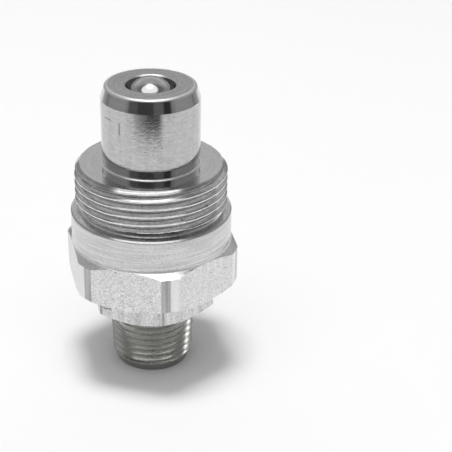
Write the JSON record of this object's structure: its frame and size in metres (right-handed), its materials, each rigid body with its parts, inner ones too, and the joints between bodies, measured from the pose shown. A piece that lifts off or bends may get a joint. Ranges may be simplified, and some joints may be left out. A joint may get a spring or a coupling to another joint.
{
  "type": "hydraulic quick coupler",
  "caption": "Male half of a screw-together hydraulic quick coupler: plain nose with a sprung ball check, union thread, hexagon body and a screwed-in end with a taper pipe thread.",
  "frame": {"origin": "centre of the pipe end's face, on which the coupler stands", "axes": "+Z along the coupler's axis from the pipe end to the nose, +Y square to a flat of the body's hexagon"},
  "size_m": [0.035, 0.032, 0.0615],
  "materials": {
    "body_steel": "turned and bright zinc plated",
    "adapter_steel": "turned and zinc plated",
    "ball_steel": "polished",
    "inner_steel": "turned",
    "spring_steel": "drawn wire",
    "seal_rubber": "matt"
  },
  "bodies": {
    "housing": {"coupler_body": "body_steel", "end_adapter": "adapter_steel", "spring_seat": "inner_steel", "joint_seal": "seal_rubber", "valve_spring": "spring_steel"},
    "check_valve": {"check_ball": "ball_steel", "ball_guide": "inner_steel"}
  },
  "joints": [
    {"name": "ball_push", "type": "slide", "parent": "housing", "child": "check_valve", "axis": [0, 0, 1], "range_m": [-0.0035, 0], "stiffness_N_per_m": 3200, "springref_m": 0.004, "deforming": ["valve_spring"]}
  ]
}
